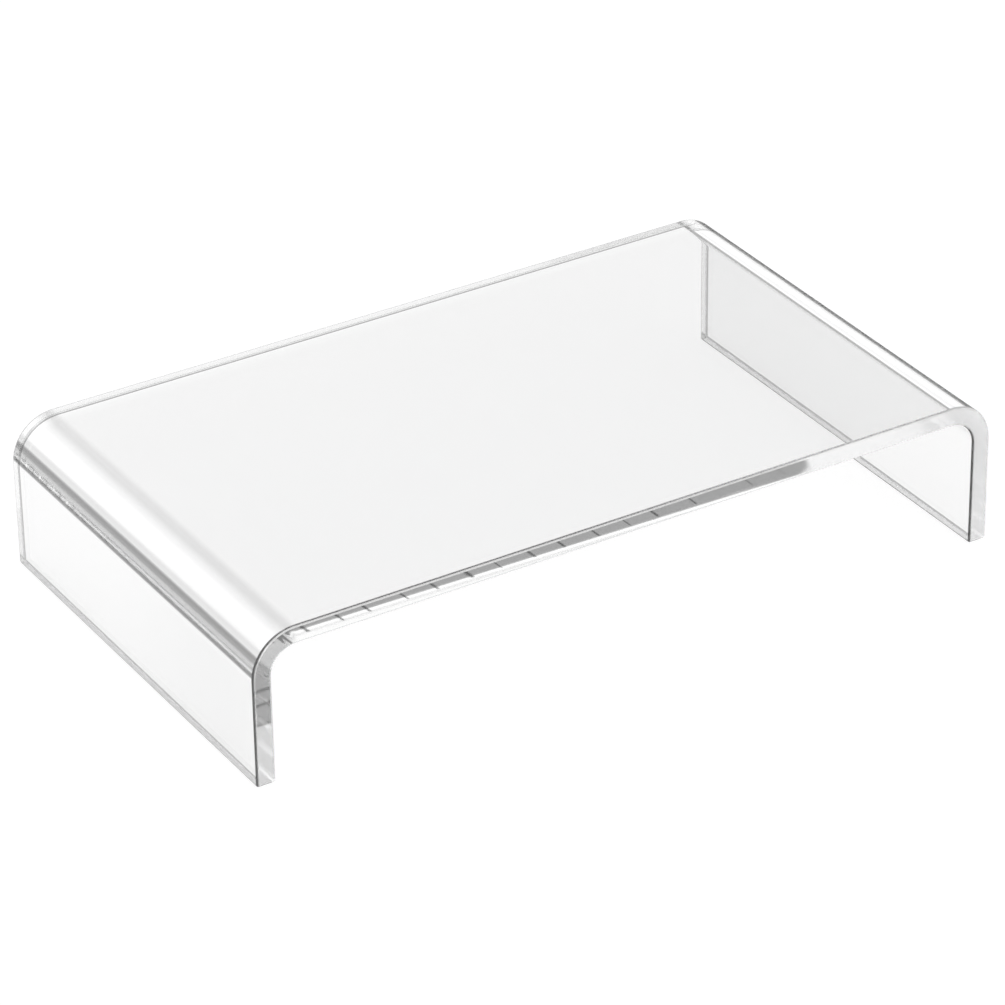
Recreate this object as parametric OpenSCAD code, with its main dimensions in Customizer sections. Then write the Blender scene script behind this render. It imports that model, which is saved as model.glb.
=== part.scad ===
// Monitor riser stand: one sheet of clear acrylic, bent twice into a wide bridge,
// which stands on the sawn ends of its two legs. Millimetres, +Z up, +X along the
// width, +Y towards the back, with the origin at the middle of the footprint.

/* [Overall size] */
// Width over the outer faces of the two legs
stand_width = 500; // [120:5:1000]
// Depth from the front edge to the back edge
stand_depth = 290; // [60:5:600]
// Height of the top face above the surface that the stand rests on
stand_height = 97; // [60:1:300]

/* [Sheet] */
// Thickness of the acrylic sheet
sheet_thickness = 12; // [3:0.5:20]
// Radius of the two bends on the inside
bend_inner_radius = 16; // [1:0.5:30]
// Width that is taken off each edge of the sheet
edge_break = 1; // [0.2:0.1:1.4]

/* [Hidden] */
$fn = 96;
clear_acrylic = [0.88, 0.92, 0.94, 0.5];
bend_outer_radius = bend_inner_radius + sheet_thickness;
bend_middle_radius = bend_inner_radius + sheet_thickness / 2;
// place of the right bend's centre, where the flat of the top and of the leg end
bend_x = stand_width / 2 - bend_outer_radius;
bend_z = stand_height - bend_outer_radius;

// A rectangle with its corners cut at 45 degrees, centred on the origin.
module broken_rectangle(size) {
    corner = size / 2;
    polygon([
        for (turn = [[1, 1], [-1, 1], [-1, -1], [1, -1]])
            for (cut = turn[0] * turn[1] > 0 ? [[0, 1], [1, 0]] : [[1, 0], [0, 1]])
                [turn[0] * (corner[0] - cut[0] * edge_break), turn[1] * (corner[1] - cut[1] * edge_break)]
    ]);
}

// The sheet cut across: its thickness along X and its depth along Y.
module sheet_section() {
    broken_rectangle([sheet_thickness, stand_depth]);
}

// The flat that carries the monitor, between the two bends.
module top_flat() {
    translate([0, 0, stand_height - sheet_thickness / 2])
        rotate([0, 90, 0])
            linear_extrude(height = 2 * bend_x, center = true)
                sheet_section();
}

// The right bend, a quarter turn from the leg up to the top.
module bend() {
    translate([bend_x, 0, bend_z])
        rotate([90, 0, 0])
            rotate_extrude(angle = 90)
                translate([bend_middle_radius, 0])
                    sheet_section();
}

// The right leg, whose foot has its edges broken too. Each of the three outlines is
// the leg seen along one axis; the two upright ones run on past the top of the leg.
module leg() {
    translate([bend_x + bend_middle_radius, 0, bend_z])
        intersection() {
            translate([0, 0, -bend_z])
                linear_extrude(height = bend_z)
                    sheet_section();
            rotate([90, 0, 0])
                linear_extrude(height = stand_depth, center = true)
                    broken_rectangle([sheet_thickness, 2 * bend_z]);
            rotate([90, 0, 90])
                linear_extrude(height = sheet_thickness, center = true)
                    broken_rectangle([stand_depth, 2 * bend_z]);
        }
}

// The whole sheet: the flat top with a bend and a leg at either side.
module riser_sheet() {
    color(clear_acrylic) {
        top_flat();
        for (side = [0, 1])
            mirror([side, 0, 0]) {
                bend();
                leg();
            }
    }
}

riser_sheet();
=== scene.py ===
import math

import bpy
from mathutils import Matrix, Vector


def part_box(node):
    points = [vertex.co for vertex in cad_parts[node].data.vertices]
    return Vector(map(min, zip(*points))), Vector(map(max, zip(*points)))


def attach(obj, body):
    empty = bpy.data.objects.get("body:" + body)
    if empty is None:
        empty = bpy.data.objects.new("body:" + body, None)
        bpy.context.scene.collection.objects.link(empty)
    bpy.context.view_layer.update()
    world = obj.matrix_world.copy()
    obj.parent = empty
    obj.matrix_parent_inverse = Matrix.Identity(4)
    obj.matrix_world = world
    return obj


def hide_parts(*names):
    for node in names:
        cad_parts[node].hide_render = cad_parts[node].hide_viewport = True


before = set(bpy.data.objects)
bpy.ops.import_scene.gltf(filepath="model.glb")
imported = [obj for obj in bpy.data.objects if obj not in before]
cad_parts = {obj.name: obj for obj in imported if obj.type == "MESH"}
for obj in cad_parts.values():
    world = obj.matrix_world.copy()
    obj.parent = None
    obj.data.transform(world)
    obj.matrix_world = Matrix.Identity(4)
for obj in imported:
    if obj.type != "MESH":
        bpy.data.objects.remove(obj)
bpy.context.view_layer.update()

bl_info = {
    "name": "Clear acrylic monitor riser",
    "version": (1, 0, 0),
    "blender": (4, 5, 0),
    "location": "View3D > Sidebar > Riser",
    "description": "A monitor riser bent from one sheet of clear acrylic, on a pale studio floor",
    "category": "Object",
}

NODE = "riser_sheet"
BODY = "root"
LOW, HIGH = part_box(NODE)
CENTRE = (LOW + HIGH) / 2


class RiserSheetSettings(bpy.types.PropertyGroup):
    """Sizes of the bent sheet that its outer box doesn't give"""

    thickness: bpy.props.FloatProperty(
        name="Sheet thickness", description="Thickness of the acrylic sheet",
        default=0.012, min=0.004, max=0.02, unit="LENGTH")
    bend_inner_radius: bpy.props.FloatProperty(
        name="Inside bend radius", description="Radius of the two bends on the inside",
        default=0.016, min=0.002, max=0.03, unit="LENGTH")
    bend_steps: bpy.props.IntProperty(
        name="Bend steps", description="Faces round each quarter-turn bend",
        default=48, min=8, max=96)
    edge_radius: bpy.props.FloatProperty(
        name="Edge radius", description="Radius of the polished rounding on every edge of the sheet",
        default=0.0015, min=0.0002, max=0.003, unit="LENGTH")
    edge_steps: bpy.props.IntProperty(
        name="Edge steps", description="Faces across the rounding of each edge",
        default=4, min=1, max=8)


class RiserAcrylicSettings(bpy.types.PropertyGroup):
    """Finish of the clear acrylic"""

    tint: bpy.props.FloatVectorProperty(
        name="Tint", description="Colour that the sheet leaves in light that passes through a face",
        subtype="COLOR", size=3, min=0.0, max=1.0, default=(0.988, 0.9885, 0.9885))
    refraction: bpy.props.FloatProperty(
        name="Index of refraction", description="1.49 for cast acrylic",
        default=1.49, min=1.3, max=1.7)
    # The grey lines along the bends are painted shade, standing in for the dark lines that the bends
    # refract and reflect.
    bend_shade: bpy.props.FloatProperty(
        name="Draw lines", description="Strength of the grey lines along the heated bends",
        default=1.0, min=0.0, max=1.0, subtype="FACTOR")
    # The grey of the rounded arrises is painted shade, set by the way each one faces.
    arris_shade: bpy.props.FloatProperty(
        name="Arris grey", description="Strength of the grey line that each rounded arris makes",
        default=1.0, min=0.0, max=1.0, subtype="FACTOR")
    # The marks across the front edge are painted shade, standing in for lines that the edge refracts.
    tick_spacing: bpy.props.FloatProperty(
        name="Saw mark spacing", description="Distance between the faint saw marks across an edge",
        default=0.021, min=0.002, max=0.1, unit="LENGTH")


class RiserStageSettings(bpy.types.PropertyGroup):
    """Floor, light and camera"""

    floor_size: bpy.props.FloatProperty(
        name="Floor size", description="Side of the square floor",
        default=40.0, min=4.0, max=100.0, unit="LENGTH")
    floor_colour: bpy.props.FloatVectorProperty(
        name="Floor colour", description="Colour of the floor",
        subtype="COLOR", size=3, min=0.0, max=1.0, default=(0.25, 0.25, 0.25))
    floor_glow: bpy.props.FloatProperty(
        name="Floor glow",
        description="Light that the floor gives off, as a lit table does, so that no shadow shows",
        default=0.88, min=0.0, max=2.0)
    camera_azimuth: bpy.props.FloatProperty(
        name="Camera azimuth", description="Turn of the camera about the stand, from straight in front",
        default=math.radians(-31.33), subtype="ANGLE")
    camera_elevation: bpy.props.FloatProperty(
        name="Camera elevation", description="Height of the camera, as an angle above the floor",
        default=math.radians(30.33), subtype="ANGLE")
    camera_roll: bpy.props.FloatProperty(
        name="Camera roll", description="Turn of the camera about its own line of sight",
        default=math.radians(-0.82), subtype="ANGLE")
    camera_distance: bpy.props.FloatProperty(
        name="Camera distance", description="Distance from the camera to the point that it looks at",
        default=2.934, min=0.5, max=20.0, unit="LENGTH")
    camera_target: bpy.props.FloatVectorProperty(
        name="Camera target",
        description="Point that the camera looks at, from the middle of the stand's box",
        default=(-0.0138, -0.0226, 0.0), size=3, subtype="TRANSLATION", unit="LENGTH")
    camera_lens: bpy.props.FloatProperty(
        name="Focal length", description="Focal length of the lens, in millimetres, on a sensor of 36 mm",
        default=178.5, min=20.0, max=400.0)


# ---------------------------------------------------------------- helpers

def deselect_all():
    """Leaves object mode with nothing selected."""
    if bpy.context.object and bpy.context.object.mode != "OBJECT":
        bpy.ops.object.mode_set(mode="OBJECT")
    bpy.ops.object.select_all(action="DESELECT")


def extrude_selected(offset):
    """Extrudes the selected faces by a vector."""
    bpy.ops.mesh.extrude_region_move(TRANSFORM_OT_translate={"value": offset})


class Value:
    """A number socket of a node tree, for writing shader maths as Python."""

    def __init__(self, tree, socket):
        self.tree = tree
        self.socket = socket

    def math(self, operation, *others, swap=False):
        """Adds a Math node on this value and the others."""
        values = [self, *others]
        if swap:
            values.reverse()
        node = self.tree.add("ShaderNodeMath", {"operation": operation}, values)
        return Value(self.tree, node.outputs[0])

    def __add__(self, other):
        return self.math("ADD", other)

    def __radd__(self, other):
        return self.math("ADD", other)

    def __sub__(self, other):
        return self.math("SUBTRACT", other)

    def __rsub__(self, other):
        return self.math("SUBTRACT", other, swap=True)

    def __mul__(self, other):
        return self.math("MULTIPLY", other)

    def __rmul__(self, other):
        return self.math("MULTIPLY", other)

    def __truediv__(self, other):
        return self.math("DIVIDE", other)

    def step(self, low, high):
        """0 below low, 1 above high, and a smooth rise between them."""
        node = self.tree.add("ShaderNodeMapRange", {"interpolation_type": "SMOOTHSTEP"},
                             {"Value": self, "From Min": low, "From Max": high})
        return Value(self.tree, node.outputs["Result"])

    def band(self, middle, half_width):
        """1 at middle, and a smooth fall to 0 at half_width on either side."""
        return 1 - (self - middle).absolute().step(0, half_width)

    def larger(self, other):
        return self.math("MAXIMUM", other)

    def absolute(self):
        return self.math("ABSOLUTE")


class Tree:
    """A node tree that is filled one node at a time."""

    def __init__(self, owner):
        owner.use_nodes = True
        self.nodes = owner.node_tree.nodes
        self.links = owner.node_tree.links
        self.nodes.clear()

    def add(self, kind, settings=None, sockets=None):
        """Adds a node: its settings first, then the values or links of its sockets."""
        node = self.nodes.new(kind)
        for name, value in (settings or {}).items():
            setattr(node, name, value)
        pairs = sockets.items() if isinstance(sockets, dict) else enumerate(sockets or [])
        for key, value in pairs:
            if isinstance(value, Value):
                value = value.socket
            if isinstance(value, bpy.types.NodeSocket):
                self.links.new(value, node.inputs[key])
            else:
                node.inputs[key].default_value = value
        return node

    def value(self, kind, settings=None, sockets=None, output=0):
        """Adds a node and gives one of its outputs as a value."""
        return Value(self, self.add(kind, settings, sockets).outputs[output])

    def split(self, vector):
        """X, Y and Z of a vector, as values."""
        parts = self.add("ShaderNodeSeparateXYZ", {}, [vector])
        return [Value(self, parts.outputs[axis]) for axis in "XYZ"]

    def place(self):
        """The surface's place in metres, as a vector."""
        return self.add("ShaderNodeTexCoord").outputs["Object"]

    def noise(self, place, scale, detail):
        """Smooth noise from 0 to 1, with a scale of its own along each axis."""
        scaled = self.add("ShaderNodeMapping", {}, {"Vector": place, "Scale": scale}).outputs[0]
        return self.value("ShaderNodeTexNoise", {}, {"Vector": scaled, "Scale": 1.0, "Detail": detail})

    def line_noise(self, along):
        """Smooth noise from 0 to 1 along a line."""
        return self.value("ShaderNodeTexNoise", {"noise_dimensions": "1D"}, {"W": along, "Scale": 1.0})

    def mix(self, factor, first, second):
        """The first colour where the factor is 0, and the second where it is 1."""
        sockets = {"Factor": factor, "A": (*first, 1.0), "B": (*second, 1.0)}
        return self.add("ShaderNodeMix", {"data_type": "RGBA"}, sockets).outputs["Result"]


# ---------------------------------------------------------------- the sheet's finish

# Lengths are in metres, shares run from 0 to 1, and a pair is where a change starts and ends.
BLACK = (0, 0, 0)
WHITE = (1, 1, 1)

LEFT_TO_RIGHT = (-0.001, 0.001)
SKIN_BLEND = 0.1                    # of the sheet's thickness

# Painted shade: the left leg is darker towards its front.
LEG_SHADE_DEPTH = 0.03
LEG_SHADE_START = (89, 93)               # degrees round the bend
LEG_SHADE_FADE = (-0.12, 0.04)           # from the middle of the depth

RIPPLE_START = (-12, 8)             # degrees round the bend
RIPPLE_END = (82, 102)
RIPPLE_SCALE = (160, 12, 160)
RIPPLE_STRENGTH = 0.25
RIPPLE_HEIGHT = 0.0002

RUB_SCALE = (26, 190, 26)
RUB_SHOWS = (0.55, 0.8)
RUB_ROUGHNESS = 0.03

# Painted shade on the arrises, by where they stand and the way they face.
ARRIS_FRONT = (0.002, 0.004)        # from the front of the stand
ARRIS_LEFT = (0.15, 0.65)           # of a normal's turn to the left
ARRIS_UP = (0.35, 0.8)
ARRIS_ROUGHNESS = 0.1

EDGE_FRONT = (0, 0.001)             # from the front of the stand
EDGE_ROUGHNESS = 0.04

# Painted shade in thin ticks across the front edge, standing in for lines that it refracts.
MARK_WANDER = 0.8                   # of the marks' spacing
MARK_WANDER_RATE = 0.9
MARK_CHOICE = 7.3
MARK_SHOWS = (0.25, 0.4)
MARK_MIDDLE = 0.5
MARK_HALF_WIDTH = 0.07
MARK_TOP = (-0.0075, -0.006)        # from the top of the stand
MARK_END = (0.06, 0.12)
MARK_GREY = 0.7

# Painted shade on the left leg's front end: grey above a height, with dark lines across it that stand in
# for refracted lines.
LEFT_LEG = (0.02, 0.03)             # from the left of the stand
END_SHADE_FROM = 0.040                  # from the floor, as the heights below are
END_SHADE_BLEND = 0.002
END_SHADE_GREY = 0.42
END_LINE_HEIGHTS = (0.0405, 0.0534, 0.0627)
END_LINE_HALF_WIDTH = 0.0018
END_LINE_GREY = 0.5

SATIN_BELOW = END_SHADE_FROM - 0.006
SATIN_RIGHT = (0.11, 0.13)
SATIN_ROUGHNESS = 0.2
FOOT_TOP = 0.002
FOOT_ROUGHNESS = 0.76


class Bands:
    """Painted shade: grey lines along one bend, which stand in for the dark lines that it refracts and
    reflects: where each starts, is full, starts to fade and ends, and its depth.

    Angles are in degrees from the end of the top to the start of the leg.
    """

    def __init__(self, *bands):
        self.bands = bands

    def clear(self, angle, strength):
        """Share of the light that the lines let through, at an angle round the bend."""
        clear = 1
        for start, full, fade, end, depth in self.bands:
            rise = angle.step(start, full)
            fall = 1 - angle.step(fade, end)
            clear = (1 - rise * fall * (depth * strength)) * clear
        return clear


# Painted shade along the left bend and along the right bend, as grey lines.
LEFT_BEND_SHADE = Bands(
    (77.5, 81, 83.5, 87, 0.70),
    (57.5, 60, 74, 77, 0.38),
    (58.5, 62, 66, 70, 0.40),
    (48, 53, 60, 65, 0.18),
    (-4, 9, 11, 24, 0.17),
)
RIGHT_BEND_SHADE = Bands(
    (12, 29, 33, 39, 0.58),
    (-6.5, -4.5, -3.5, -1.5, 0.2),
)


class ArrisShade:
    """Painted shade on the arrises, by the way they face: some grey on all of them, and more on those that
    face left and on those that face up.
    """

    def __init__(self, plain, left, up):
        self.plain = plain
        self.left = left
        self.up = up

    def grey(self, left, up):
        """Share of the light that an arris keeps back, from how far it faces left and up."""
        return self.plain + left * self.left + (1 - left) * up * self.up


FRONT_ARRIS_SHADE = ArrisShade(0.03, 0.8, 0.33)
BACK_ARRIS_SHADE = ArrisShade(0.02, 0.5, 0.5)


def clear_shader(tree, look, clear, roughness, bump=None):
    """Acrylic that lets through the given share of the light at each face."""
    # The share is squared because the shader takes the root of its colour at each face that light crosses.
    sockets = {
        "Base Color": tree.mix(clear * clear, BLACK, look.tint),
        "Roughness": roughness,
        "IOR": look.refraction,
        "Transmission Weight": 1.0,
    }
    if bump:
        sockets["Normal"] = bump
    shader = tree.add("ShaderNodeBsdfPrincipled", {}, sockets)
    tree.add("ShaderNodeOutputMaterial", {}, {"Surface": shader.outputs[0]})


def round_bend(x, z, size):
    """Degrees round the nearer bend from the end of the top, and 1 on the outer face and 0 on the inner."""
    outer = size.bend_inner_radius + size.thickness
    across = x.absolute() - (HIGH.x - outer)
    above = z - (HIGH.z - outer)
    angle = across.math("ARCTAN2", above) * math.degrees(1)
    from_axis = (across * across + above * above).math("SQRT")
    middle = outer - size.thickness / 2
    blend = size.thickness * SKIN_BLEND
    return angle, from_axis.step(middle - blend, middle + blend)


def heat_ripple(tree, place, angle):
    """The slight ripple that the heat leaves at the bends, long along them, as a normal."""
    heated = angle.step(*RIPPLE_START) * (1 - angle.step(*RIPPLE_END))
    ripple = tree.noise(place, RIPPLE_SCALE, 1.0)
    return tree.add("ShaderNodeBump", {}, {
        "Strength": RIPPLE_STRENGTH,
        "Distance": RIPPLE_HEIGHT,
        "Height": ripple * heated,
    }).outputs[0]


def acrylic_material(look, size):
    """Clear cast acrylic: polished faces, with painted shade in grey lines along the bends, standing in for
    their dark refractions and reflections.
    """
    material = bpy.data.materials.new("clear_acrylic")
    tree = Tree(material)
    place = tree.place()
    x, y, z = tree.split(place)
    angle, outside = round_bend(x, z, size)
    right = x.step(*LEFT_TO_RIGHT)
    # Painted shade along the bends, on their outer faces.
    left_clear = LEFT_BEND_SHADE.clear(angle, look.bend_shade)
    right_clear = RIGHT_BEND_SHADE.clear(angle, look.bend_shade)
    lines = left_clear + right * (right_clear - left_clear)
    # Painted shade: the left leg is darker towards its front.
    leg_shade_from, leg_shade_to = (CENTRE.y + offset for offset in LEG_SHADE_FADE)
    left_leg = angle.step(*LEG_SHADE_START) * (1 - right)
    painted_leg_shade = left_leg * (1 - y.step(leg_shade_from, leg_shade_to)) * LEG_SHADE_DEPTH
    clear = (1 + outside * (lines - 1)) * (1 - painted_leg_shade)
    rub = tree.noise(place, RUB_SCALE, 3.0).step(*RUB_SHOWS)
    clear_shader(tree, look, clear, rub * RUB_ROUGHNESS, heat_ripple(tree, place, angle))
    return material


def arris_material(look):
    """The rounding along every arris, with painted shade: a grey line, darkest where it faces left at the
    front.
    """
    material = bpy.data.materials.new("shaded_arris")
    tree = Tree(material)
    y = tree.split(tree.place())[1]
    aside, _, above = tree.split(tree.add("ShaderNodeNewGeometry").outputs["Normal"])
    front = 1 - (y - LOW.y).step(*ARRIS_FRONT)
    left = (0 - aside).step(*ARRIS_LEFT)
    upper = above.step(*ARRIS_UP)
    # Painted shade: grey by the way the arris faces, more at the front.
    front_shade = FRONT_ARRIS_SHADE.grey(left, upper)
    back_shade = BACK_ARRIS_SHADE.grey(left, upper)
    grey = back_shade + front * (front_shade - back_shade)
    clear_shader(tree, look, 1 - grey * look.arris_shade, ARRIS_ROUGHNESS)
    return material


def painted_ticks(tree, x, z, spacing):
    """Painted shade in thin dark ticks across the upper half of an edge, standing in for lines that the
    edge refracts: unevenly spaced, and some of them missing.
    """
    along = (x + z) / spacing
    wander = tree.line_noise(along * MARK_WANDER_RATE) * MARK_WANDER
    beat = (along + wander).math("FRACT")
    chosen = tree.line_noise(along + MARK_CHOICE).step(*MARK_SHOWS)
    upper_half = (z - HIGH.z).step(*MARK_TOP)
    return beat.band(MARK_MIDDLE, MARK_HALF_WIDTH) * chosen * upper_half * (1 - x.step(*MARK_END))


def leg_end(x, z):
    """Share of the light that the left leg's front end lets through, with painted shade: grey above, with
    dark lines across it that stand in for lines that it refracts.
    """
    left_leg = 1 - (x - LOW.x).step(*LEFT_LEG)
    clear = 1 - left_leg * z.step(END_SHADE_FROM, END_SHADE_FROM + END_SHADE_BLEND) * END_SHADE_GREY
    for height in END_LINE_HEIGHTS:
        clear = clear * (1 - left_leg * z.band(height, END_LINE_HALF_WIDTH) * END_LINE_GREY)
    return clear


def edge_material(look):
    """The sawn and polished edges, with painted shade at the front, satin at the right, and with matt feet.
    """
    material = bpy.data.materials.new("polished_edge")
    tree = Tree(material)
    x, y, z = tree.split(tree.place())
    front = 1 - (y - LOW.y).step(*EDGE_FRONT)
    # Painted shade at the front: dark ticks, and the grey of the left leg's end.
    marked = (1 - painted_ticks(tree, x, z, look.tick_spacing) * MARK_GREY) * leg_end(x, z)
    clear = 1 + front * (marked - 1)
    low = 1 - z.step(SATIN_BELOW, END_SHADE_FROM)
    satin = low.larger(x.step(*SATIN_RIGHT))
    foot = 1 - z.step(LOW.z, LOW.z + FOOT_TOP)
    clear_shader(tree, look, clear, EDGE_ROUGHNESS + satin * SATIN_ROUGHNESS + foot * FOOT_ROUGHNESS)
    return material


# ---------------------------------------------------------------- the sheet

SMOOTH_BELOW = math.radians(40)     # faces that meet at less than this are shaded as one
MERGE_DISTANCE = 1e-6
ARRIS_SLOT, EDGE_SLOT = 1, 2        # after the polished faces, which come first
EDGE_FACING = 0.9                   # of a normal's turn to the front or the back


def bend_sheet(size):
    """The sheet as one solid: up the right leg, round its bend, across the top and down the left leg."""
    outer = size.bend_inner_radius + size.thickness
    bend_x = HIGH.x - outer
    bend_z = HIGH.z - outer
    quarter = math.pi / 2
    deselect_all()
    foot = Vector((HIGH.x - size.thickness / 2, CENTRE.y, LOW.z))
    bpy.ops.mesh.primitive_plane_add(size=1, location=foot)
    piece = bpy.context.object
    piece.name = "acrylic_sheet"
    piece.data.name = "acrylic_sheet"
    piece.scale = (size.thickness, HIGH.y - LOW.y, 1)
    bpy.ops.object.transform_apply(location=True, rotation=True, scale=True)

    bpy.ops.object.mode_set(mode="EDIT")
    bpy.ops.mesh.select_all(action="SELECT")
    extrude_selected((0, 0, bend_z - LOW.z))
    bpy.ops.mesh.spin(steps=size.bend_steps, angle=quarter, center=(bend_x, 0, bend_z), axis=(0, 1, 0))
    extrude_selected((-2 * bend_x, 0, 0))
    bpy.ops.mesh.spin(steps=size.bend_steps, angle=quarter, center=(-bend_x, 0, bend_z), axis=(0, 1, 0))
    extrude_selected((0, 0, LOW.z - bend_z))
    bpy.ops.mesh.select_all(action="SELECT")
    bpy.ops.mesh.remove_doubles(threshold=MERGE_DISTANCE)
    bpy.ops.mesh.normals_make_consistent(inside=False)
    bpy.ops.object.mode_set(mode="OBJECT")
    return piece


def round_edges(piece, size):
    """Rounds every edge of the sheet, and keeps its flat faces flat in shading."""
    rounding = piece.modifiers.new("edge_rounding", "BEVEL")
    rounding.material = ARRIS_SLOT
    rounding.width = size.edge_radius
    rounding.segments = size.edge_steps
    rounding.limit_method = "ANGLE"
    rounding.angle_limit = SMOOTH_BELOW
    bpy.ops.object.modifier_apply(modifier=rounding.name)
    bpy.ops.object.shade_smooth_by_angle(angle=SMOOTH_BELOW)
    flats = piece.modifiers.new("flat_shading", "WEIGHTED_NORMAL")
    flats.weight = 100
    flats.keep_sharp = True
    bpy.ops.object.modifier_apply(modifier=flats.name)


class RISER_OT_sheet(bpy.types.Operator):
    """Model the bent acrylic sheet and give it its finish"""

    bl_idname = "riser.sheet"
    bl_label = "Bent sheet"

    def execute(self, context):
        size = context.scene.riser_sheet
        look = context.scene.riser_acrylic
        piece = bend_sheet(size)
        piece.data.materials.append(acrylic_material(look, size))
        piece.data.materials.append(arris_material(look))
        piece.data.materials.append(edge_material(look))
        for face in piece.data.polygons:
            at_foot = face.center.z < LOW.z + size.edge_radius
            if abs(face.normal.y) > EDGE_FACING or at_foot:
                face.material_index = EDGE_SLOT
        round_edges(piece, size)

        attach(piece, BODY)
        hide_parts(NODE)
        return {"FINISHED"}


# ---------------------------------------------------------------- the stage

FLOOR_GAP = 0.0001                  # metres under the feet
FLOOR_ROUGHNESS = 0.9
MIRRORED_DARKER = 0.25              # all over the floor
MIRRORED_RIGHT = 0.6                # further, on the right
RIGHT_START = (-0.3, -0.1)


def floor_material(colour, glow):
    """Matt white floor, which glows and is darker to mirrored rays, mostly on the right."""
    material = bpy.data.materials.new("studio_floor")
    tree = Tree(material)
    path = tree.add("ShaderNodeLightPath")
    inside = Value(tree, path.outputs["Is Transmission Ray"])
    mirrored = Value(tree, path.outputs["Is Glossy Ray"]) * (1 - inside)
    x = tree.split(tree.place())[0]
    darker = mirrored * (MIRRORED_DARKER + x.step(*RIGHT_START) * MIRRORED_RIGHT)
    shader = tree.add("ShaderNodeBsdfPrincipled", {}, {
        "Base Color": tree.mix(darker, colour, BLACK),
        "Roughness": FLOOR_ROUGHNESS,
        "Specular IOR Level": 0.0,
        "Emission Color": tree.mix(darker, WHITE, BLACK),
        "Emission Strength": glow,
    })
    tree.add("ShaderNodeOutputMaterial", {}, {"Surface": shader.outputs[0]})
    return material


class Card:
    """A soft-edged panel of the studio, bright or dark, to give the acrylic its highlights and lines.

    Angles are in degrees as seen from the stand, and azimuth 0 is straight behind it.
    """

    def __init__(self, brightness, azimuth, elevation, half_width, half_height, softness=6):
        self.brightness = brightness
        self.azimuth = azimuth
        self.elevation = elevation
        self.half_width = half_width
        self.half_height = half_height
        self.softness = softness

    def cover(self, azimuth, elevation):
        """1 on the panel and 0 off it, in the direction of the two angles."""
        # Degrees from the panel's middle, from -180 to 180, whichever way round is shorter.
        aside = (azimuth - self.azimuth + 540).math("MODULO", 360) - 180
        across = aside.absolute().step(self.half_width, self.half_width + self.softness)
        above = (elevation - self.elevation).absolute()
        upright = above.step(self.half_height, self.half_height + self.softness)
        return (1 - across) * (1 - upright)


CARDS = (
    Card(0.36, 24, 34, 24, 7),
    Card(1.3, 42, 10, 22, 8),
    Card(1.5, 336, 31, 10, 11),
    Card(1.3, 180, 40, 30, 8),
    Card(0.78, 180, 6, 75, 10, 14),
)
ROOM = 0.55                         # brightness of the light from all round
HORIZON = 1.05                      # and near the horizon
HORIZON_FADE = (14, 24)             # degrees up or down
SEEN_DIRECTLY = 1.1


def studio_world():
    """Soft light from all round, with bright and dark panels, and plain white behind everything."""
    world = bpy.data.worlds.new("studio_light")
    bpy.context.scene.world = world
    tree = Tree(world)
    direction = tree.add("ShaderNodeTexCoord").outputs["Generated"]
    aside, behind, above = tree.split(direction)
    azimuth = aside.math("ARCTAN2", behind) * math.degrees(1)
    elevation = above.math("ARCSINE") * math.degrees(1)
    light = ROOM + (HORIZON - ROOM) * (1 - elevation.absolute().step(*HORIZON_FADE))
    for card in CARDS:
        light = light + card.cover(azimuth, elevation) * (card.brightness - light)
    seen = Value(tree, tree.add("ShaderNodeLightPath").outputs["Is Camera Ray"])
    light = light + seen * (SEEN_DIRECTLY - light)
    back = tree.add("ShaderNodeBackground", {}, {"Color": (*WHITE, 1), "Strength": light})
    tree.add("ShaderNodeOutputWorld", {}, {"Surface": back.outputs[0]})


SENSOR_WIDTH = 36.0                 # millimetres
VIEW_LIMIT = 200                    # metres
LIGHT_BOUNCES = 48


def add_floor(look):
    """The floor under the stand, which isn't part of it."""
    deselect_all()
    bpy.ops.mesh.primitive_plane_add(size=look.floor_size, location=(CENTRE.x, CENTRE.y, LOW.z - FLOOR_GAP))
    floor = bpy.context.object
    floor.name = "studio_floor"
    floor.data.materials.append(floor_material(look.floor_colour, look.floor_glow))


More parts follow.
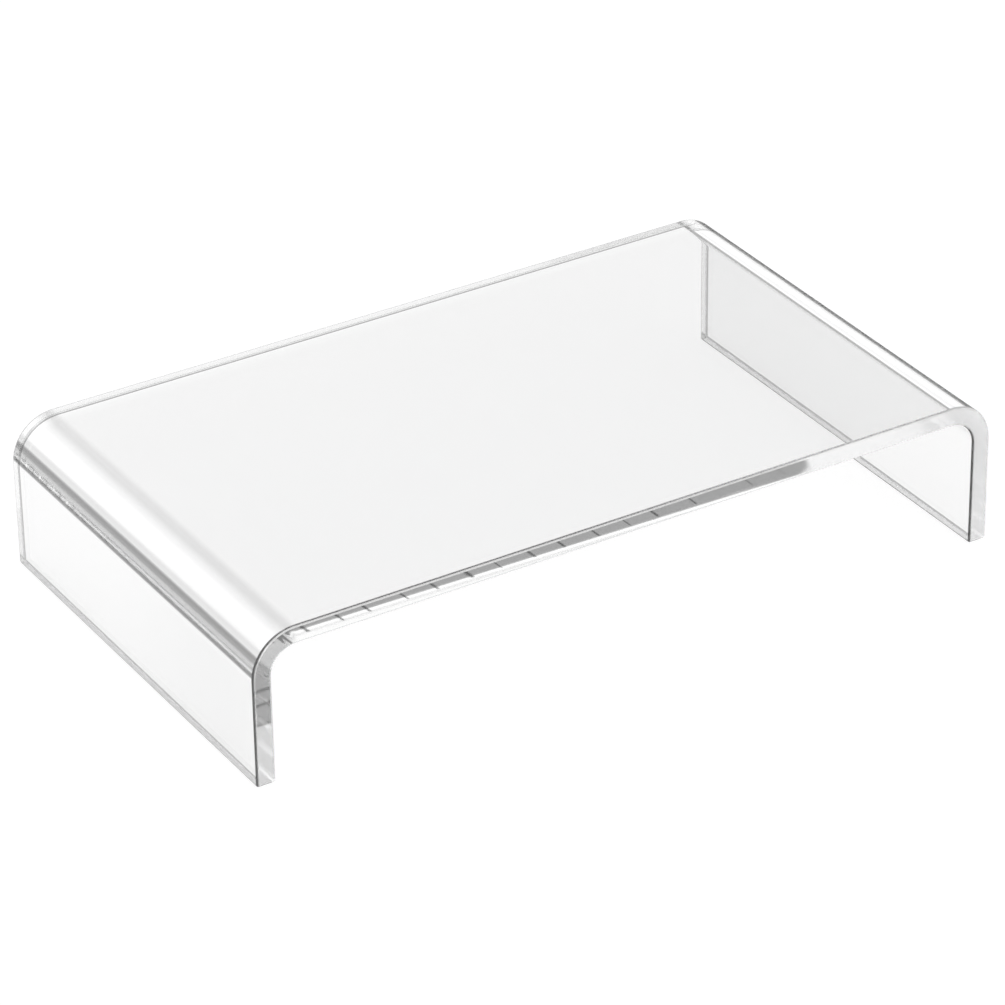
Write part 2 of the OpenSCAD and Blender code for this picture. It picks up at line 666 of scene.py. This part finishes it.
def add_camera(look):
    """A camera at its distance from the target, turned to look at it."""
    azimuth, elevation = look.camera_azimuth, look.camera_elevation
    back = Vector((math.sin(azimuth) * math.cos(elevation),
                   -math.cos(azimuth) * math.cos(elevation),
                   math.sin(elevation)))
    target = CENTRE + Vector(look.camera_target)
    deselect_all()
    bpy.ops.object.camera_add(location=target + back * look.camera_distance)
    camera = bpy.context.object
    camera.name = "camera"
    turn = back.to_track_quat("Z", "Y")
    roll = Matrix.Rotation(look.camera_roll, 3, "Z")
    camera.rotation_euler = (turn.to_matrix() @ roll).to_euler()
    camera.data.lens = look.camera_lens
    camera.data.sensor_width = SENSOR_WIDTH
    camera.data.clip_end = VIEW_LIMIT
    return camera


class RISER_OT_stage(bpy.types.Operator):
    """Set the floor, the studio light and the camera"""

    bl_idname = "riser.stage"
    bl_label = "Floor, light and camera"

    def execute(self, context):
        look = context.scene.riser_stage
        add_floor(look)
        studio_world()
        context.scene.camera = add_camera(look)

        # Light that enters the sheet is turned back many times before it leaves.
        cycles = context.scene.cycles
        cycles.max_bounces = LIGHT_BOUNCES
        cycles.glossy_bounces = LIGHT_BOUNCES
        cycles.transmission_bounces = LIGHT_BOUNCES
        context.scene.view_settings.view_transform = "Standard"
        return {"FINISHED"}


# ---------------------------------------------------------------- the add-on

class RISER_PT_panel(bpy.types.Panel):
    """The sidebar panel, with the settings and a button for each part of the scene"""

    bl_idname = "RISER_PT_panel"
    bl_label = "Monitor riser"
    bl_space_type = "VIEW_3D"
    bl_region_type = "UI"
    bl_category = "Riser"

    def draw(self, context):
        for name, group in SETTINGS.items():
            box = self.layout.box()
            for setting in group.__annotations__:
                box.prop(getattr(context.scene, name), setting)
        for operator in OPERATORS:
            self.layout.operator(operator.bl_idname)


SETTINGS = {
    "riser_sheet": RiserSheetSettings,
    "riser_acrylic": RiserAcrylicSettings,
    "riser_stage": RiserStageSettings,
}
OPERATORS = (RISER_OT_sheet, RISER_OT_stage)
CLASSES = (*SETTINGS.values(), *OPERATORS, RISER_PT_panel)


def register():
    """Registers the classes and adds the settings to the scene."""
    for each in CLASSES:
        bpy.utils.register_class(each)
    for name, group in SETTINGS.items():
        setattr(bpy.types.Scene, name, bpy.props.PointerProperty(type=group))


def unregister():
    """Takes away what register adds."""
    for name in SETTINGS:
        delattr(bpy.types.Scene, name)
    for each in reversed(CLASSES):
        bpy.utils.unregister_class(each)


def main():
    """Builds the stand and its stage."""
    register()
    bpy.ops.riser.sheet()
    bpy.ops.riser.stage()


if __name__ == "__main__":
    main()
